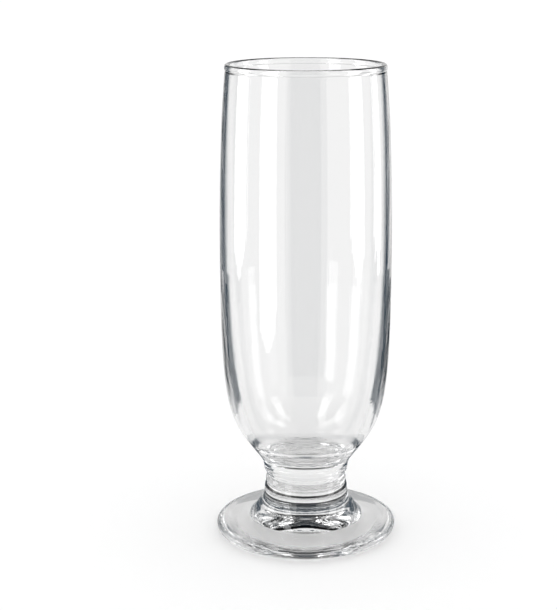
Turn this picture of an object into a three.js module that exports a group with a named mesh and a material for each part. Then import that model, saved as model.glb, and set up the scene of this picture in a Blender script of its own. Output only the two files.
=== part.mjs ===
// A footed beer glass: a blown bowl on a short pressed stem and a thick, stepped, pressed foot.
// The three pieces are turned outlines. Their flat weld faces meet where the glass was fused.
// Millimetres, +Z up, origin on the table at the centre of the foot.

import * as THREE from "three";

// Driving dimensions of the whole glass
const HEIGHT = 182;
const FOOT_DIAMETER = 70;
const BELLY_DIAMETER = 65;
const BEAD_DIAMETER = 60;
const SEGMENTS = 56;

// Heights, from the table, where the three pieces are fused and where the cavity ends
const FOOT_WELD_HEIGHT = 11;
const BOWL_WELD_HEIGHT = 25.5;
const CAVITY_FLOOR_HEIGHT = 32.6;

const point = (radius, height) => new THREE.Vector2(radius, height);

// Bowl: its widest height, its wall, and the rounded bead round the rim
const BELLY_HEIGHT = 104.5;
const CAVITY_WIDEST_HEIGHT = 122;
const BELLY_WALL = 2.6;
const BEAD_THICKNESS = 1.9;
const BEAD_DEPTH = 2.8;
const BEAD_STEP = 0.2;
const BEAD_FOOT_DROP = 0.4;
const MOUTH_STEP = 0.15;
const SHOULDER = point(17.85, 31.05);
const SHOULDER_SLOPE = THREE.MathUtils.degToRad(36.4);

// How far the bowl's smooth stretches keep their direction before they turn
const NECK_RISE = point(0.2, 2);
const SHOULDER_LENGTHS = { below: 2, above: 18.85 };
const BELLY_LENGTHS = { below: 59.3, above: 36 };
const UNDER_BEAD = point(1.5, -15);
const UNDER_MOUTH = point(1.3, -20);
const CAVITY_LENGTHS = { below: 80.8, above: 22 };
const CAVITY_FLOOR_REACH = 22.4;

// Stem: the neck, the waist, the faint rings below it, and the flare down to the foot's step
const NECK_RADIUS = 16.15;
const WAIST = point(15.1, 23.65);
const RING = point(15.6, 21.5);
const GROOVE = point(15.45, 20.7);
const FLARE_START = point(16.1, 18.4);
const FLARE_LEAVES = point(16.25, 15.3);
const FLARE_ARRIVES = point(17.2, 11.8);
const FLARE_RADIUS = 18.4;

// Foot: the rounded step under the stem, the flat top, and the thick rounded rim
const STEP_LEAVES = point(19.05, 10.9);
const STEP_ARRIVES = point(20.8, 6.8);
const STEP_FOOT = point(22.5, 6.5);
const RIM_TOP = point(30.35, 4.9);
const WIDEST_HEIGHT = 3.3;
const OVER_RIM_FULLNESS = [0.76, 0.42];
const UNDER_RIM_FULLNESS = [0.63, 0.68];

// Underneath: the flat ring that it stands on, and the hollow inside that ring
const BEARING_OUTER_RADIUS = 28.7;
const BEARING_INNER_RADIUS = 26.4;
const HOLLOW_DEPTH = 4.8;
const HOLLOW_FLAT = 0.24;
const HOLLOW_STEEP = [0.79, 0.1];

const clearGlass = () =>
  new THREE.MeshStandardMaterial({ color: 0xe4ecec, roughness: 0.02, metalness: 0 });

const moved = (from, across, up) => point(from.x + across, from.y + up);

// A smooth stretch of outline from one point to another, leaving and arriving along two handles
const stretch = (from, leaving, arriving, to, steps) =>
  new THREE.CubicBezierCurve(from, leaving, arriving, to).getPoints(steps);

// An arc of outline round a centre, anticlockwise from one angle to the other, in degrees
function arc(centre, acrossRadius, uprightRadius, fromDegrees, toDegrees, steps) {
  const start = THREE.MathUtils.degToRad(fromDegrees);
  const end = THREE.MathUtils.degToRad(toDegrees);
  return new THREE.EllipseCurve(centre.x, centre.y, acrossRadius, uprightRadius, start, end)
    .getPoints(steps);
}

// Turns an outline round the glass's axis into a closed piece, with its height along +Z
function turned(name, stretches) {
  const outline = stretches.flat().filter((spot, index, all) =>
    index === 0 || spot.distanceTo(all[index - 1]) > 1e-6);
  const geometry = new THREE.LatheGeometry(outline, SEGMENTS);
  geometry.rotateX(Math.PI / 2);
  const piece = new THREE.Mesh(geometry, clearGlass());
  piece.name = name;
  return piece;
}

// The bowl: a solid base, a wall that thins towards the rim, and the fire-polished bead
function makeBowl() {
  const bellyRadius = BELLY_DIAMETER / 2;
  const bead = point((BEAD_DIAMETER - BEAD_THICKNESS) / 2, HEIGHT - BEAD_DEPTH / 2);
  const beadFoot = point(BEAD_DIAMETER / 2 - BEAD_STEP, HEIGHT - BEAD_DEPTH - BEAD_FOOT_DROP);
  const mouth = point(bead.x - BEAD_THICKNESS / 2 + MOUTH_STEP, beadFoot.y);
  const neck = point(NECK_RADIUS, BOWL_WELD_HEIGHT);
  const belly = point(bellyRadius, BELLY_HEIGHT);
  const cavityWidest = point(bellyRadius - BELLY_WALL, CAVITY_WIDEST_HEIGHT);
  const cavityFloor = point(0, CAVITY_FLOOR_HEIGHT);
  const alongShoulder = (length) =>
    moved(SHOULDER, length * Math.sin(SHOULDER_SLOPE), length * Math.cos(SHOULDER_SLOPE));

  return turned("bowl", [
    [point(0, BOWL_WELD_HEIGHT), neck],
    stretch(neck, neck.clone().add(NECK_RISE), alongShoulder(-SHOULDER_LENGTHS.below), SHOULDER, 4),
    stretch(SHOULDER, alongShoulder(SHOULDER_LENGTHS.above), moved(belly, 0, -BELLY_LENGTHS.below), belly, 15),
    stretch(belly, moved(belly, 0, BELLY_LENGTHS.above), beadFoot.clone().add(UNDER_BEAD), beadFoot, 6),
    arc(bead, BEAD_THICKNESS / 2, BEAD_DEPTH / 2, -45, 225, 12),
    stretch(mouth, mouth.clone().add(UNDER_MOUTH), moved(cavityWidest, 0, CAVITY_LENGTHS.above),
      cavityWidest, 6),
    stretch(cavityWidest, moved(cavityWidest, 0, -CAVITY_LENGTHS.below),
      moved(cavityFloor, CAVITY_FLOOR_REACH, 0), cavityFloor, 16),
  ]);
}

// The stem: a solid plug with a faint ring round its waist, flaring onto the foot
function makeStem() {
  const neck = point(NECK_RADIUS, BOWL_WELD_HEIGHT);
  const flareEnd = point(FLARE_RADIUS, FOOT_WELD_HEIGHT);
  const weldRings = new THREE.SplineCurve([FLARE_START, GROOVE, RING, WAIST, neck]).getPoints(12);

  return turned("stem", [
    [point(0, FOOT_WELD_HEIGHT)],
    stretch(flareEnd, FLARE_ARRIVES, FLARE_LEAVES, FLARE_START, 6),
    weldRings,
    [point(0, BOWL_WELD_HEIGHT)],
  ]);
}

// The foot: a thick disc with a rounded rim and a step, standing on a flat ring round a hollow
function makeFoot() {
  const widest = point(FOOT_DIAMETER / 2, WIDEST_HEIGHT);
  const bearing = point(BEARING_OUTER_RADIUS, 0);
  const stepTop = point(FLARE_RADIUS, FOOT_WELD_HEIGHT);
  const alongTop = RIM_TOP.clone().sub(STEP_FOOT).normalize();
  const [overUp, overAcross] = OVER_RIM_FULLNESS;
  const [underAcross, underUp] = UNDER_RIM_FULLNESS;
  const [steepAt, steepHeight] = HOLLOW_STEEP;

  const hollow = stretch(
    point(0, HOLLOW_DEPTH),
    point(BEARING_INNER_RADIUS * HOLLOW_FLAT, HOLLOW_DEPTH),
    point(BEARING_INNER_RADIUS * steepAt, HOLLOW_DEPTH * steepHeight),
    point(BEARING_INNER_RADIUS, 0), 9);
  const underRim = stretch(
    bearing, moved(bearing, underAcross * (widest.x - bearing.x), 0),
    moved(widest, 0, -underUp * widest.y), widest, 6);
  const overRim = stretch(
    widest, moved(widest, 0, overUp * (RIM_TOP.y - widest.y)),
    RIM_TOP.clone().addScaledVector(alongTop, overAcross * (widest.x - RIM_TOP.x)), RIM_TOP, 6);
  const stepSide = stretch(STEP_FOOT, STEP_ARRIVES, STEP_LEAVES, stepTop, 6);

  return turned("foot", [hollow, underRim, overRim, stepSide, [point(0, FOOT_WELD_HEIGHT)]]);
}

const glass = new THREE.Group();
glass.add(makeBowl(), makeStem(), makeFoot());

export default glass;
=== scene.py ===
# %% [markdown]
# A footed beer glass, empty and clear.
# The real one is three bodies of glass fused by heat: a blown bowl, a short pressed stem and a
# pressed foot. Clear glass has no colour of its own to look at. What the eye reads is the bend of
# the light behind it and the mirror of the lights beside it, so the outlines have to be right to a
# fraction of a millimetre, and the studio round the glass matters as much as the glass.

# %% Load the measured frame
import math

import bpy
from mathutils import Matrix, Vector


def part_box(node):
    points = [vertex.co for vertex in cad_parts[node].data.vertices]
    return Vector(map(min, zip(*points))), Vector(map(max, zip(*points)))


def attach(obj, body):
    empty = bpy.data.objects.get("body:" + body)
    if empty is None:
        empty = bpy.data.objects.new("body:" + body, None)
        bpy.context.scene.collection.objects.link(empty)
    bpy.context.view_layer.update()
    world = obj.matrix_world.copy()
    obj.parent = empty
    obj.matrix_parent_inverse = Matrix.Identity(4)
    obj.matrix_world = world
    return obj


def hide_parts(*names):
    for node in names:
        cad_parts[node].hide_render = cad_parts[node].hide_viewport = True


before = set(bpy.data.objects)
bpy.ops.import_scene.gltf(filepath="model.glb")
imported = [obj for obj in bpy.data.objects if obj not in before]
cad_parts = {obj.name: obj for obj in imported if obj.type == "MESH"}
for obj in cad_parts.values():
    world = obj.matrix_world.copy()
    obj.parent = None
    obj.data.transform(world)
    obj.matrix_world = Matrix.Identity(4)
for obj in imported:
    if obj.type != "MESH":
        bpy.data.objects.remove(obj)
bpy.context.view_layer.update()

MM = 0.001

# %% [markdown]
# The camera comes first, because everything is judged through it.
# The rim and the foot show as two ellipses of different flatness, which says how near the camera
# stood and how far it looked down. The photograph was cropped beside the glass, so the picture is
# shifted sideways instead of turning the camera, which keeps the glass upright.

# %% Camera
PHOTO_WIDTH, PHOTO_HEIGHT = 557, 610
GLASS_CENTRE_COLUMN = 305.8
FOCAL_PIXELS = 1418
CAMERA_DISTANCE = 524 * MM
CAMERA_HEIGHT = 224.7 * MM
CAMERA_LOOKS_DOWN = math.radians(14.33)

camera_data = bpy.data.cameras.new("camera")
camera_data.lens = camera_data.sensor_width * FOCAL_PIXELS / PHOTO_HEIGHT
camera_data.shift_x = (PHOTO_WIDTH / 2 - GLASS_CENTRE_COLUMN) / PHOTO_HEIGHT
camera = bpy.data.objects.new("camera", camera_data)
camera.location = (0, -CAMERA_DISTANCE, CAMERA_HEIGHT)
camera.rotation_euler = (math.pi / 2 - CAMERA_LOOKS_DOWN, 0, 0)
bpy.context.collection.objects.link(camera)
bpy.context.scene.camera = camera
print("lens", round(camera_data.lens, 1), "mm")

# %% [markdown]
# Each piece is turned, so its whole shape is one outline of radius and height.
# The outline could be drawn point by point, but glass shows every flat spot, so it is made of a
# few smooth stretches and arcs, as the mould drawing of the real glass would be. The frame gives
# the outer sizes. Each stretch says last
# how many steps it has: more where it is long or bends sharply, so that no facet shows.

# %% Smooth stretches and arcs
def stretch(start, leaving, arriving, end, steps):
    """Points of one smooth stretch, with the handles that it leaves and arrives along."""
    points = []
    for step in range(steps + 1):
        t = step / steps
        points.append(Vector(start) * (1 - t) ** 3
                      + Vector(leaving) * 3 * (1 - t) ** 2 * t
                      + Vector(arriving) * 3 * (1 - t) * t ** 2
                      + Vector(end) * t ** 3)
    return points


def arc(centre, across, upright, from_degrees, to_degrees, steps):
    """Points of an arc round a centre, anticlockwise."""
    points = []
    for step in range(steps + 1):
        angle = math.radians(from_degrees + (to_degrees - from_degrees) * step / steps)
        points.append(centre + Vector((across * math.cos(angle), upright * math.sin(angle))))
    return points


# %% Outlines from stretches
def through(knots, steps):
    """Points of a smooth curve that passes through a few knots."""
    padded = [knots[0] * 2 - knots[1], *knots, knots[-1] * 2 - knots[-2]]
    points = []
    for before, start, end, after in zip(padded, padded[1:], padded[2:], padded[3:]):
        leaving = start + (end - before) / 6
        arriving = end - (after - start) / 6
        points += stretch(start, leaving, arriving, end, steps)[:-1]
    return [*points, knots[-1]]


def straight(start, end, steps):
    """Points of a straight stretch."""
    return [start.lerp(end, step / steps) for step in range(steps + 1)]


DOUBLED_WITHIN = 0.001


def joined(*stretches):
    """One outline from stretches laid end to end, without the doubled points between them."""
    outline = []
    for point in (point for each in stretches for point in each):
        if not outline or (Vector(point) - outline[-1]).length > DOUBLED_WITHIN:
            outline.append(Vector(point))
    return outline


# %% [markdown]
# Glass that is fused is one body, so no light bends where two pieces meet.
# In a model the pieces are separate, and two faces in the same place would flicker. So each weld is a
# pair of faces a hair apart, and later they get a finish that lets all light straight through.

# %% Sizes that the pieces share, in millimetres
bowl_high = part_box("bowl")[1]
stem_low, stem_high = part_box("stem")
foot_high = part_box("foot")[1]

HEIGHT = bowl_high.z / MM
BELLY_RADIUS = bowl_high.x / MM
FLARE_RADIUS = stem_high.x / MM
FOOT_RADIUS = foot_high.x / MM
BOWL_WELD = stem_high.z / MM
FOOT_WELD = stem_low.z / MM
NECK_RADIUS = 16.15
HALF_WELD_GAP = 0.01
print("belly", BELLY_RADIUS, "flare", FLARE_RADIUS, "foot", FOOT_RADIUS, "welds at", FOOT_WELD, BOWL_WELD)

# %% [markdown]
# The bowl is blown, so it is thin at the mouth and thick at the base.
# Its rim is melted smooth with a flame, which draws the edge into a small bead. Seen from the side,
# the bead is the crisp double line at the top of the glass. The cavity ends in a rounded floor a
# little above the neck, and the solid glass below it works as a lens.

# %% Bowl sizes
BELLY_HEIGHT = 104.5
BELLY_WALL = 2.6
CAVITY_WIDEST = Vector((BELLY_RADIUS - BELLY_WALL, 122))
CAVITY_FLOOR = Vector((0, 32.6))
BEAD_RADIUS = 30
BEAD_THICKNESS = 1.9
BEAD_DEPTH = 2.8
BEAD_STEP = 0.2
BEAD_FOOT_DROP = 0.4
MOUTH_STEP = 0.15
SHOULDER = Vector((17.85, 31.05))
SHOULDER_SLOPE = math.radians(36.4)
print("the glass is", round(CAVITY_FLOOR.y - BOWL_WELD, 1), "mm thick between the cavity and the stem")

# %% How far the bowl's stretches keep their direction before they turn
NECK_RISE = Vector((0.2, 2))
BELOW_SHOULDER = 2
ABOVE_SHOULDER = 18.85
BELOW_BELLY = Vector((0, -59.3))
ABOVE_BELLY = Vector((0, 36))
UNDER_BEAD = Vector((1.5, -15))
UNDER_MOUTH = Vector((1.3, -20))
ABOVE_WIDEST = Vector((0, 22))
BELOW_WIDEST = Vector((0, -80.8))
ALONG_FLOOR = Vector((22.4, 0))


def bowl_outline():
    along = Vector((math.sin(SHOULDER_SLOPE), math.cos(SHOULDER_SLOPE)))
    neck = Vector((NECK_RADIUS, BOWL_WELD + HALF_WELD_GAP))
    belly = Vector((BELLY_RADIUS, BELLY_HEIGHT))
    bead = Vector((BEAD_RADIUS - BEAD_THICKNESS / 2, HEIGHT - BEAD_DEPTH / 2))
    bead_foot = Vector((BEAD_RADIUS - BEAD_STEP, HEIGHT - BEAD_DEPTH - BEAD_FOOT_DROP))
    mouth = Vector((bead.x - BEAD_THICKNESS / 2 + MOUTH_STEP, bead_foot.y))
    return joined(
        [Vector((0, neck.y)), neck],
        stretch(neck, neck + NECK_RISE, SHOULDER - along * BELOW_SHOULDER, SHOULDER, 16),
        stretch(SHOULDER, SHOULDER + along * ABOVE_SHOULDER, belly + BELOW_BELLY, belly, 80),
        stretch(belly, belly + ABOVE_BELLY, bead_foot + UNDER_BEAD, bead_foot, 32),
        arc(bead, BEAD_THICKNESS / 2, BEAD_DEPTH / 2, -45, 225, 40),
        stretch(mouth, mouth + UNDER_MOUTH, CAVITY_WIDEST + ABOVE_WIDEST, CAVITY_WIDEST, 32),
        stretch(CAVITY_WIDEST, CAVITY_WIDEST + BELOW_WIDEST, CAVITY_FLOOR + ALONG_FLOOR, CAVITY_FLOOR, 90))


bowl_points = bowl_outline()
print("bowl outline:", len(bowl_points), "points")

# %% [markdown]
# The stem is a short solid plug with faint rings where it was fused to the bowl while soft.
# A ring stands only half a millimetre proud of the waist above it, and less of the groove below,
# yet it draws a bright and a dark line across the neck. A curve through a few points makes it,
# because softened glass has no sharp edges.

# %% Stem outline
FLARE_LEAVES = Vector((16.25, 15.3))
FLARE_ARRIVES = Vector((17.2, 11.8))
FLARE_START = Vector((16.1, 18.4))
GROOVE = Vector((15.45, 20.7))
RING = Vector((15.6, 21.5))
WAIST = Vector((15.1, 23.65))


def stem_outline():
    top = BOWL_WELD - HALF_WELD_GAP
    bottom = FOOT_WELD + HALF_WELD_GAP
    flare_end = Vector((FLARE_RADIUS, bottom))
    neck = Vector((NECK_RADIUS, top))
    return joined(
        [Vector((0, bottom))],
        stretch(flare_end, FLARE_ARRIVES, FLARE_LEAVES, FLARE_START, 40),
        through([FLARE_START, GROOVE, RING, WAIST, neck], 12),
        [Vector((0, top))])


stem_points = stem_outline()
print("stem outline:", len(stem_points), "points")

# %% [markdown]
# The foot is a pressed disc with a rounded step under the stem and a thick rounded rim.
# Nobody sees its underside at first, but the hollow there and the flat ring that the glass stands on
# are what the light passes last, so they shape the bright and dark rings in the foot. A fullness
# says how far a handle of the rim reaches towards the corner of the box round that stretch.

# %% Foot outline
STEP_LEAVES = Vector((19.05, 10.9))
STEP_ARRIVES = Vector((20.8, 6.8))
STEP_FOOT = Vector((22.5, 6.5))
RIM_TOP = Vector((30.35, 4.9))
WIDEST_HEIGHT = 3.3
UNDER_RIM_FULLNESS = (0.63, 0.68)
OVER_RIM_FULLNESS = (0.76, 0.42)
BEARING_OUTER_RADIUS = 28.7
BEARING_INNER_RADIUS = 26.4
HOLLOW_DEPTH = 4.8
HOLLOW_FLAT = 0.24
HOLLOW_STEEP = (0.79, 0.1)


def foot_outline():
    top = FOOT_WELD - HALF_WELD_GAP
    widest = Vector((FOOT_RADIUS, WIDEST_HEIGHT))
    bearing = Vector((BEARING_OUTER_RADIUS, 0))
    under_across, under_up = UNDER_RIM_FULLNESS
    over_up, over_across = OVER_RIM_FULLNESS
    steep_at, steep_height = HOLLOW_STEEP
    along_top = (RIM_TOP - STEP_FOOT).normalized()
    hollow = stretch(
        (0, HOLLOW_DEPTH), (BEARING_INNER_RADIUS * HOLLOW_FLAT, HOLLOW_DEPTH),
        (BEARING_INNER_RADIUS * steep_at, HOLLOW_DEPTH * steep_height), (BEARING_INNER_RADIUS, 0), 40)
    under_rim = stretch(
        bearing, bearing + Vector((under_across * (widest.x - bearing.x), 0)),
        widest - Vector((0, under_up * widest.y)), widest, 30)
    over_rim = stretch(
        widest, widest + Vector((0, over_up * (RIM_TOP.y - widest.y))),
        RIM_TOP + along_top * over_across * (widest.x - RIM_TOP.x), RIM_TOP, 30)
    flat_top = straight(RIM_TOP, STEP_FOOT, 8)
    step_side = stretch(STEP_FOOT, STEP_ARRIVES, STEP_LEAVES, (FLARE_RADIUS, top), 24)
    return joined(hollow, under_rim, over_rim, flat_top, step_side, [Vector((0, top))])


foot_points = foot_outline()
print("foot outline:", len(foot_points), "points")

# %% [markdown]
# Geometry Nodes turn an outline into a piece, because turning is a rule: every ring is the same.
# A Screw modifier could turn it too, but the tree also shades and paints the faces by the same rule
# for all three pieces. Nodes are made in code here, so a few short helpers come first. They link
# sockets, fill one with a number or a link, add a Math node, and take a vector apart.

# %% Node helpers
def link(tree, out_socket, in_socket):
    tree.links.new(out_socket, in_socket)


def fill(tree, socket, value):
    """Links a socket to another one, or gives it a plain value."""
    if isinstance(value, bpy.types.NodeSocket):
        link(tree, value, socket)
    else:
        socket.default_value = value


def maths(tree, operation, *values):
    """The result of a Math node on numbers or sockets."""
    node = tree.nodes.new("ShaderNodeMath")
    node.operation = operation
    for socket, value in zip(node.inputs, values):
        fill(tree, socket, value)
    return node.outputs[0]


def parts_of(tree, vector):
    """The X, Y and Z of a vector, by name."""
    node = tree.nodes.new("ShaderNodeSeparateXYZ")
    link(tree, vector, node.inputs[0])
    return node.outputs


# %% [markdown]
# A grid gives one row of points for each point of the outline, and one column for each step round
# the axis. Each point looks up the radius and height that its row has, then swings to its column's
# angle. Merging points that lie together closes the seam and the poles on the axis.

# %% Rows of the grid become rings
SAME_PLACE = 1e-6


def position_here(tree):
    return tree.nodes.new("GeometryNodeInputPosition").outputs[0]


def ring_grid(tree, outline, steps_round):
    """A flat grid of one unit, and the number of its last row."""
    count = tree.nodes.new("GeometryNodeAttributeDomainSize")
    link(tree, outline, count.inputs["Geometry"])
    rows = count.outputs["Point Count"]
    grid = tree.nodes.new("GeometryNodeMeshGrid")
    fill(tree, grid.inputs["Size X"], 1)
    fill(tree, grid.inputs["Size Y"], 1)
    fill(tree, grid.inputs["Vertices X"], maths(tree, "ADD", steps_round, 1))
    fill(tree, grid.inputs["Vertices Y"], rows)
    return grid.outputs["Mesh"], maths(tree, "SUBTRACT", rows, 1)


def place_on_ring(tree, outline, last_row):
    """Where a point of the grid goes: its column is an angle, and its row a point of the outline."""
    here = parts_of(tree, position_here(tree))
    turn = maths(tree, "MULTIPLY", maths(tree, "ADD", here["X"], 0.5), 2 * math.pi)
    row = maths(tree, "ROUND", maths(tree, "MULTIPLY", maths(tree, "ADD", here["Y"], 0.5), last_row))
    lookup = tree.nodes.new("GeometryNodeSampleIndex")
    lookup.data_type = "FLOAT_VECTOR"
    link(tree, outline, lookup.inputs["Geometry"])
    link(tree, position_here(tree), lookup.inputs["Value"])
    link(tree, row, lookup.inputs["Index"])
    spot = parts_of(tree, lookup.outputs[0])
    place = tree.nodes.new("ShaderNodeCombineXYZ")
    fill(tree, place.inputs["X"], maths(tree, "MULTIPLY", maths(tree, "COSINE", turn), spot["X"]))
    fill(tree, place.inputs["Y"], maths(tree, "MULTIPLY", maths(tree, "SINE", turn), spot["X"]))
    fill(tree, place.inputs["Z"], spot["Z"])
    return place.outputs[0]


# %% [markdown]
# Smooth shading hides the facets, but an edge that is really sharp has to stay sharp, such as the
# one round a weld face, so the tree asks each edge how far it bends. The same tree paints the faces:
# one finish all over, another on the welds, and another where the piece touches the table.

# %% Sharp edges and finishes
SHARP_FROM = math.radians(9)


def smooth_but_sharp(tree, mesh):
    angle = tree.nodes.new("GeometryNodeInputMeshEdgeAngle")
    smooth = tree.nodes.new("GeometryNodeSetShadeSmooth")
    smooth.domain = "EDGE"
    link(tree, mesh, smooth.inputs["Geometry"])
    soft = maths(tree, "LESS_THAN", angle.outputs["Unsigned Angle"], SHARP_FROM)
    link(tree, soft, smooth.inputs["Shade Smooth"])
    return smooth.outputs[0]


def paint(tree, mesh, material, where=True):
    node = tree.nodes.new("GeometryNodeSetMaterial")
    link(tree, mesh, node.inputs["Geometry"])
    fill(tree, node.inputs["Selection"], where)
    link(tree, material, node.inputs["Material"])
    return node.outputs[0]


# %% The tree that turns an outline
NOWHERE = -1.0


def build_turning_tree():
    tree = bpy.data.node_groups.new("turn_outline", "GeometryNodeTree")
    for name, kind in (("Outline", "Geometry"), ("Glass", "Material"), ("Fused", "Material"),
                       ("Ground", "Material")):
        tree.interface.new_socket(name, in_out="INPUT", socket_type="NodeSocket" + kind)
    steps = tree.interface.new_socket("Steps Round", in_out="INPUT", socket_type="NodeSocketInt")
    steps.default_value = 256
    for name in ("Upper Weld", "Lower Weld", "Ground Below"):
        height = tree.interface.new_socket(name, in_out="INPUT", socket_type="NodeSocketFloat")
        height.default_value = NOWHERE
    tree.interface.new_socket("Piece", in_out="OUTPUT", socket_type="NodeSocketGeometry")
    given = tree.nodes.new("NodeGroupInput").outputs

    grid, last_row = ring_grid(tree, given["Outline"], given["Steps Round"])
    turned_grid = tree.nodes.new("GeometryNodeSetPosition")
    link(tree, grid, turned_grid.inputs["Geometry"])
    link(tree, place_on_ring(tree, given["Outline"], last_row), turned_grid.inputs["Position"])
    closed = tree.nodes.new("GeometryNodeMergeByDistance")
    link(tree, turned_grid.outputs[0], closed.inputs["Geometry"])
    fill(tree, closed.inputs["Distance"], SAME_PLACE)
    whole = tree.nodes.new("GeometryNodeRealizeInstances")
    link(tree, smooth_but_sharp(tree, closed.outputs[0]), whole.inputs["Geometry"])

    height = parts_of(tree, position_here(tree))["Z"]
    at_welds = [maths(tree, "COMPARE", height, given[name], SAME_PLACE)
                for name in ("Upper Weld", "Lower Weld")]
    near_table = maths(tree, "LESS_THAN", height, given["Ground Below"])
    painted = paint(tree, whole.outputs[0], given["Glass"])
    painted = paint(tree, painted, given["Fused"], maths(tree, "MAXIMUM", *at_welds))
    painted = paint(tree, painted, given["Ground"], near_table)
    link(tree, painted, tree.nodes.new("NodeGroupOutput").inputs[0])
    return tree


turning_tree = build_turning_tree()
print("the turning tree has", len(turning_tree.nodes), "nodes")

# %% [markdown]
# Clear glass is one shader with full transmission and the index of soda-lime glass.
# Real glass is never perfectly even: fire-polished and pressed walls both ripple a little. The ripple
# is worked out once, in a group of nodes that every finish uses with its own number of ripples.

# %% Node group for the ripple of the walls
RIPPLES = "Ripples Per Metre"


def build_ripple_group():
    group = bpy.data.node_groups.new("glass_ripple", "ShaderNodeTree")
    group.interface.new_socket(RIPPLES, in_out="INPUT", socket_type="NodeSocketFloat")
    group.interface.new_socket("Height", in_out="OUTPUT", socket_type="NodeSocketFloat")
    ripple = group.nodes.new("ShaderNodeTexNoise")
    ripple.inputs["Detail"].default_value = 2
    link(group, group.nodes.new("ShaderNodeTexCoord").outputs["Object"], ripple.inputs["Vector"])
    link(group, group.nodes.new("NodeGroupInput").outputs[RIPPLES], ripple.inputs["Scale"])
    link(group, ripple.outputs["Fac"], group.nodes.new("NodeGroupOutput").inputs["Height"])
    return group


ripple_group = build_ripple_group()
print("ripple group:", [socket.name for socket in ripple_group.interface.items_tree])

# %% [markdown]
# Where a wall turns away from the eye, light travels a long way inside it and comes from the dark
# parts of a room, which draws the thin grey edges by which clear glass is seen against white. Here
# that edge shade is painted: Layer Weight knows how far a surface turns away, so a cool grey is
# painted into the glass's colour there only, from every side.
# The ring that the glass stands on gets a fine roughness, because tables wear it dull.

# %% Glass finishes
GLASS_INDEX = 1.52
# painted edge shade: the cool grey put into the glass's colour where a surface turns away
PAINTED_EDGE_SHADE = (0.30, 0.36, 0.40, 1)
PAINTED_SHADE_FROM = 0.8
RIPPLE_HEIGHT = 0.01 * MM
GROUND_GRAIN_HEIGHT = 0.02 * MM


# Painted shade: the Base Color goes from white to cool grey as a surface turns away from the eye.
def paint_edge_shade(tree, shader):
    facing = tree.nodes.new("ShaderNodeLayerWeight")
    painted_shade_amount = tree.nodes.new("ShaderNodeMapRange")
    painted_shade_amount.inputs["From Min"].default_value = PAINTED_SHADE_FROM
    link(tree, facing.outputs["Facing"], painted_shade_amount.inputs["Value"])
    colour = tree.nodes.new("ShaderNodeMix")
    colour.data_type = "RGBA"
    clear, painted_shade = (socket for socket in colour.inputs if socket.enabled and socket.type == "RGBA")
    link(tree, painted_shade_amount.outputs["Result"], colour.inputs["Factor"])
    clear.default_value = (1, 1, 1, 1)
    painted_shade.default_value = PAINTED_EDGE_SHADE
    result = next(socket for socket in colour.outputs if socket.enabled)
    link(tree, result, shader.inputs["Base Color"])


def glass_finish(name, ripples_per_metre, ripple_height, roughness=0):
    material = bpy.data.materials.new(name)
    material.use_nodes = True
    tree = material.node_tree
    shader = tree.nodes["Principled BSDF"]
    shader.inputs["Transmission Weight"].default_value = 1
    shader.inputs["IOR"].default_value = GLASS_INDEX
    shader.inputs["Roughness"].default_value = roughness
    # painted edge shade in the Base Color
    paint_edge_shade(tree, shader)
    ripple = tree.nodes.new("ShaderNodeGroup")
    ripple.node_tree = ripple_group
    ripple.inputs[RIPPLES].default_value = ripples_per_metre
    bump = tree.nodes.new("ShaderNodeBump")
    bump.inputs["Strength"].default_value = 1
    bump.inputs["Distance"].default_value = ripple_height
    link(tree, ripple.outputs["Height"], bump.inputs["Height"])
    link(tree, bump.outputs["Normal"], shader.inputs["Normal"])
    return material


blown_glass = glass_finish("blown_glass", 35, RIPPLE_HEIGHT)
pressed_glass = glass_finish("pressed_glass", 90, RIPPLE_HEIGHT)
ground_ring = glass_finish("ground_ring", 900, GROUND_GRAIN_HEIGHT, roughness=0.12)
print("finishes:", [m.name for m in (blown_glass, pressed_glass, ground_ring)])

# %% [markdown]
# The welds need a finish too, because the glass is whole there and nothing bends or mirrors.
# A clear glass shader would still bend the light, so these faces get a plain shader with an alpha
# of zero, which lets every ray pass as if no face was there.

# %% Finish of the weld faces
fused_joint = bpy.data.materials.new("fused_joint")
fused_joint.use_nodes = True
fused_joint.node_tree.nodes["Principled BSDF"].inputs["Alpha"].default_value = 0
print("weld finish:", fused_joint.name)

# %% [markdown]
# Each outline becomes a line of points, and the tree turns it.
# The modifier's result is copied to a plain mesh, so that the finished piece doesn't depend on the
# tree any more. A modifier knows its inputs by identifier, so the names are looked up first.

# %% Turn the three pieces
GROUND_HEIGHT = 0.02


def turned(name, outline, glass, **heights):
    """A piece from its outline. Heights are in millimetres, and are named as the tree's inputs are."""
    mesh = bpy.data.meshes.new(name + "_outline")
    spots = [(point.x * MM, 0, point.y * MM) for point in outline]
    mesh.from_pydata(spots, [(i, i + 1) for i in range(len(spots) - 1)], [])
    source = bpy.data.objects.new(name + "_outline", mesh)
    bpy.context.collection.objects.link(source)
    modifier = source.modifiers.new("turn", "NODES")
    modifier.node_group = turning_tree
    chosen = {"Glass": glass, "Fused": fused_joint, "Ground": ground_ring}
    for words, height in heights.items():
        chosen[words.replace("_", " ").title()] = height * MM
    for socket in turning_tree.interface.items_tree:
        if socket.name in chosen:
            modifier[socket.identifier] = chosen[socket.name]
    bpy.context.view_layer.update()
    evaluated = source.evaluated_get(bpy.context.evaluated_depsgraph_get())
    piece = bpy.data.objects.new(name, bpy.data.meshes.new_from_object(evaluated))
    piece.data.name = name
    for slot in reversed([i for i, m in enumerate(piece.data.materials) if m is None]):
        piece.data.materials.pop(index=slot)
    bpy.context.collection.objects.link(piece)
    bpy.data.objects.remove(source)
    return piece


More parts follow.
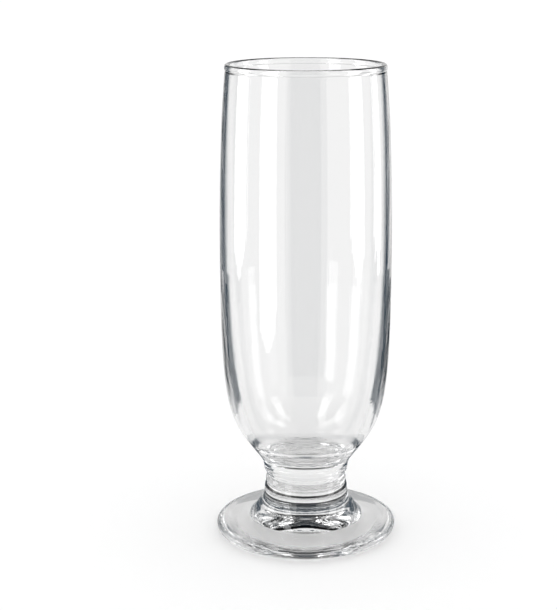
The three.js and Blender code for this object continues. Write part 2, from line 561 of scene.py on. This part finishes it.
bowl = turned("bowl_glass", bowl_points, blown_glass, lower_weld=BOWL_WELD + HALF_WELD_GAP)
stem = turned("stem_glass", stem_points, pressed_glass,
              upper_weld=BOWL_WELD - HALF_WELD_GAP, lower_weld=FOOT_WELD + HALF_WELD_GAP)
foot = turned("foot_glass", foot_points, pressed_glass,
              upper_weld=FOOT_WELD - HALF_WELD_GAP, ground_below=GROUND_HEIGHT)
for piece in (bowl, stem, foot):
    print(piece.name, len(piece.data.polygons), "faces", [m.name for m in piece.data.materials])

# %% [markdown]
# A glass has nothing that moves, so its three pieces ride on one body.
# Each stands in for the plain solid that the measured frame has in the same place.

# %% Tie the pieces to the frame
for piece, node in ((bowl, "bowl"), (stem, "stem"), (foot, "foot")):
    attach(piece, "root")
    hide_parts(node)
    print(piece.name, "stands for", node)

# %% [markdown]
# The floor is a plain white sheet that the camera sees as white as the paper of a catalogue.
# A glass shows what is behind it a little darker than it is, and the photograph's whites are
# brighter than that, so the sheet answers the camera brighter than it answers the glass. It lies a
# film of air below the foot, because faces in the same place would flicker.

# %% Floor
FLOOR_RADIUS = 8.0
FLOOR_SIDES = 96
AIR_FILM = 0.05 * MM
SHEET_TO_CAMERA = 0.97
SHEET_TO_GLASS = 0.83


def chosen_by(tree, condition, yes, no):
    """A value that is one number or another, as a condition says."""
    mix = tree.nodes.new("ShaderNodeMix")
    for socket, value in (("Factor", condition), ("A", no), ("B", yes)):
        fill(tree, mix.inputs[socket], value)
    return mix.outputs["Result"]


def white_sheet():
    material = bpy.data.materials.new("white_sheet")
    material.use_nodes = True
    tree = material.node_tree
    shader = tree.nodes["Principled BSDF"]
    shader.inputs["Roughness"].default_value = 1
    shader.inputs["Specular IOR Level"].default_value = 0
    path = tree.nodes.new("ShaderNodeLightPath")
    level = chosen_by(tree, path.outputs["Is Camera Ray"], SHEET_TO_CAMERA, SHEET_TO_GLASS)
    grey = tree.nodes.new("ShaderNodeCombineColor")
    for channel in ("Red", "Green", "Blue"):
        link(tree, level, grey.inputs[channel])
    link(tree, grey.outputs[0], shader.inputs["Base Color"])
    return material


def make_floor():
    edge = []
    for side in range(FLOOR_SIDES):
        angle = 2 * math.pi * side / FLOOR_SIDES
        edge.append((FLOOR_RADIUS * math.cos(angle), FLOOR_RADIUS * math.sin(angle), -AIR_FILM))
    mesh = bpy.data.meshes.new("floor")
    mesh.from_pydata(edge, [], [list(range(FLOOR_SIDES))])
    mesh.materials.append(white_sheet())
    floor = bpy.data.objects.new("floor", mesh)
    bpy.context.collection.objects.link(floor)
    return floor


floor = make_floor()
print("the floor is", 2 * FLOOR_RADIUS, "m across")

# %% [markdown]
# A glass is lit by its surroundings, so the studio is a white room with a few cards in it.
# Dark cards draw the dark edges, and bright tall panels beside the glass draw the white bands. A
# photographer would move real cards until each band fell where it should. Here a card also chooses
# which rays see it: a ray that has met the glass only a few times comes from the front wall, and one
# that has met it more often comes from the back wall or the solid base. So the bands of each wall
# can be placed on their own. The camera, the sheet and shadows never see a card, and most cards show
# only in mirrored light, so that looking straight through the glass shows the plain white room.

# %% The shape of a card
DEGREES_PER_STRIP = 4


def card_mesh(name, span, distance, heights, point):
    """An upright strip that bends round the glass. Its lower end narrows to a point over a height.
    Degrees go from the camera's side towards +X."""
    start, end = span
    low, high = heights
    strips = max(2, round((end - start) / DEGREES_PER_STRIP))
    points, faces = [], []
    for strip in range(strips + 1):
        angle = math.radians(start + (end - start) * strip / strips)
        x, y = distance * math.sin(angle), -distance * math.cos(angle)
        lower_end = low + point * abs(2 * strip / strips - 1)
        points += [(x, y, lower_end), (x, y, high)]
        if strip:
            faces.append((2 * strip - 2, 2 * strip - 1, 2 * strip + 1, 2 * strip))
    mesh = bpy.data.meshes.new(name)
    mesh.from_pydata(points, [], faces)
    return mesh


# %% Which rays see a card
def card_glow(name, colour, brightness, meets_glass, mirrored):
    """A glow for rays that met glass between the first and the last number of times, and that were
    mirrored at least as often as is said. Other rays pass."""
    material = bpy.data.materials.new(name)
    material.use_nodes = True
    tree = material.node_tree
    tree.nodes.remove(tree.nodes["Principled BSDF"])
    glow = tree.nodes.new("ShaderNodeEmission")
    glow.inputs["Color"].default_value = colour
    glow.inputs["Strength"].default_value = brightness
    path = tree.nodes.new("ShaderNodeLightPath").outputs
    conditions = (
        maths(tree, "GREATER_THAN", path["Ray Depth"], meets_glass[0] - 0.5),
        maths(tree, "LESS_THAN", path["Ray Depth"], meets_glass[1] + 0.5),
        maths(tree, "GREATER_THAN", path["Glossy Depth"], mirrored - 0.5),
    )
    seen = maths(tree, "LESS_THAN", path["Diffuse Depth"], 0.5)
    for condition in conditions:
        seen = maths(tree, "MINIMUM", seen, condition)
    mix = tree.nodes.new("ShaderNodeMixShader")
    link(tree, seen, mix.inputs[0])
    link(tree, tree.nodes.new("ShaderNodeBsdfTransparent").outputs[0], mix.inputs[1])
    link(tree, glow.outputs[0], mix.inputs[2])
    link(tree, mix.outputs[0], tree.nodes["Material Output"].inputs["Surface"])
    material.cycles.emission_sampling = "NONE"
    return material


# %% A card that only the glass sees
DARK = (0.03, 0.05, 0.07, 1)
WHITE = (1, 1, 1, 1)
ANY_WALL = (0, 64)
EDGES = (0, 3)
FRONT_WALL = (0, 4)
BACK_WALL = (5, 64)
cards = []


def card(name, span, distance, heights, colour, meets_glass=ANY_WALL, brightness=1, point=0, mirrored=1):
    cards.append(name)
    mesh = card_mesh(name, span, distance, heights, point)
    mesh.materials.append(card_glow(name, colour, brightness, meets_glass, mirrored))
    piece = bpy.data.objects.new(name, mesh)
    bpy.context.collection.objects.link(piece)
    piece.visible_camera = False
    piece.visible_diffuse = False
    piece.visible_shadow = False


# %% [markdown]
# The dark cards come first. The wide one stands for the dark room behind the camera. Two tall ones
# darken the bowl's edges, and two low ones carry these lines on below the belly, where the wall
# curves in and sends rays low over the table. Those two also show straight through the glass. A low
# dark ring round the foot draws the thin outline of its rim, and two shades darken the sides of the
# solid base.

# %% Dark cards
card("camera_side", (-24.5, 26), 0.15, (0, 0.7), DARK)
for side, span in {"left": (-157, -134), "right": (128, 148)}.items():
    card(side + "_dark_edge", span, 0.4, (0, 0.3), DARK, EDGES)
for side, span in {"right": (114, 144), "left": (-138, -115)}.items():
    card(side + "_low_edge", span, 0.11, (0, 0.08), DARK, EDGES, mirrored=0)
card("round_the_foot", (-180, 180), 0.052, (0, 0.011), DARK)
for side, span in {"left": (-150, -125), "right": (126, 150)}.items():
    card(side + "_low_shade", span, 0.25, (0, 0.15), DARK, BACK_WALL)
print("dark cards:", cards)

# %% [markdown]
# Four bright panels draw four white bands on the front wall, and their lower ends narrow to a point,
# as the bands do. The back wall mirrors four panels a little aside of these, once from low near
# cards, which end in the bright blobs above the base, and once from higher ones.

# %% Bright panels
def front_panel(name, span, distance, point):
    card(name, span, distance, (0, 0.6), WHITE, FRONT_WALL, brightness=4, point=point)


front_panel("left_panel", (-107, -86), distance=0.44, point=0.035)
front_panel("left_narrow_panel", (-59, -39), distance=0.25, point=0.02)
front_panel("right_panel", (62, 82), distance=0.44, point=0.035)
front_panel("right_narrow_panel", (104, 114), distance=0.44, point=0.035)

LOW_PANELS = {"left": (-107, -86), "left_narrow": (-56, -38), "right": (58, 75), "right_narrow": (97, 113)}
for side, span in LOW_PANELS.items():
    brightness = 1.3 if side == "right" else 3
    card(side + "_low_panel", span, 0.1, (0, 0.068), WHITE, BACK_WALL, brightness)

UPPER_PANELS = {"left": (-107, -86), "left_narrow": (-58, -38), "right": (60, 78), "right_narrow": (97, 115)}
for side, span in UPPER_PANELS.items():
    card(side + "_upper_panel", span, 0.25, (0.16, 0.5), WHITE, BACK_WALL, brightness=3)
print("dark cards and bright panels together:", len(cards))

# %% [markdown]
# The room is white and dims towards a dark ceiling, by the height that a ray points to.
# The dark lines in the photographed base and foot are mirrors of something unlit overhead, and a
# room that is white all over leaves them out. Light that reaches the sheet through the glass is
# dimmed at every wall, so the room shines brighter for it, which keeps the sheet under the foot
# white.

# %% Levels of the room
ROOM_TO_SHEET = 1.08
ROOM_UNDER_GLASS = 1.75
WALL_DIMS_FROM, WALL_DIMS_TO = 0.25, 0.55
WALL_BELOW, WALL_ABOVE = 0.91, 0.6
CEILING_FROM, CEILING_TO = 0.5, 0.62
CEILING_LEVEL = 0.06
print("the room's levels:", WALL_BELOW, "low,", WALL_ABOVE, "high,", CEILING_LEVEL, "at the ceiling")


# %% The room
def fade(tree, value, start, end, before, after):
    """A level that goes from one number to another while a value goes from start to end."""
    node = tree.nodes.new("ShaderNodeMapRange")
    link(tree, value, node.inputs["Value"])
    for socket, number in (("From Min", start), ("From Max", end), ("To Min", before), ("To Max", after)):
        node.inputs[socket].default_value = number
    return node.outputs["Result"]


def white_light(tree, strength=1):
    node = tree.nodes.new("ShaderNodeBackground")
    node.inputs["Color"].default_value = (1, 1, 1, 1)
    fill(tree, node.inputs["Strength"], strength)
    return node.outputs[0]


def one_or_other(tree, condition, yes, no):
    mix = tree.nodes.new("ShaderNodeMixShader")
    for socket, value in zip(mix.inputs, (condition, no, yes)):
        link(tree, value, socket)
    return mix.outputs[0]


def make_room():
    world = bpy.data.worlds.new("white_room")
    world.use_nodes = True
    tree = world.node_tree
    tree.nodes.remove(tree.nodes["Background"])
    direction = parts_of(tree, tree.nodes.new("ShaderNodeTexCoord").outputs["Generated"])
    wall = fade(tree, direction["Z"], WALL_DIMS_FROM, WALL_DIMS_TO, WALL_BELOW, WALL_ABOVE)
    ceiling = fade(tree, direction["Z"], CEILING_FROM, CEILING_TO, 1, CEILING_LEVEL)
    path = tree.nodes.new("ShaderNodeLightPath").outputs
    from_sheet = maths(tree, "GREATER_THAN", path["Diffuse Depth"], 0.5)
    level = chosen_by(tree, from_sheet, ROOM_UNDER_GLASS, maths(tree, "MULTIPLY", wall, ceiling))
    through_glass = maths(tree, "MAXIMUM", path["Is Glossy Ray"], path["Is Transmission Ray"])
    to_glass = white_light(tree, level)
    to_sheet = white_light(tree, ROOM_TO_SHEET)
    unseen = one_or_other(tree, through_glass, to_glass, to_sheet)
    light = one_or_other(tree, path["Is Camera Ray"], white_light(tree), unseen)
    link(tree, light, tree.nodes["World Output"].inputs["Surface"])
    return world


bpy.context.scene.world = make_room()
print("the room is", bpy.context.scene.world.name)

# %% [markdown]
# A ray in glass crosses many walls, and one that is cut short leaves a black spot.
# So it may bend and mirror more often than in other scenes. The plain view transform keeps the sheet
# white, as in a catalogue.

# %% Light paths and view
scene = bpy.context.scene
scene.view_settings.view_transform = "Standard"
scene.cycles.max_bounces = 32
scene.cycles.transmission_bounces = 32
scene.cycles.glossy_bounces = 16
scene.cycles.transparent_max_bounces = 32
print("a ray may meet", scene.cycles.max_bounces, "surfaces")
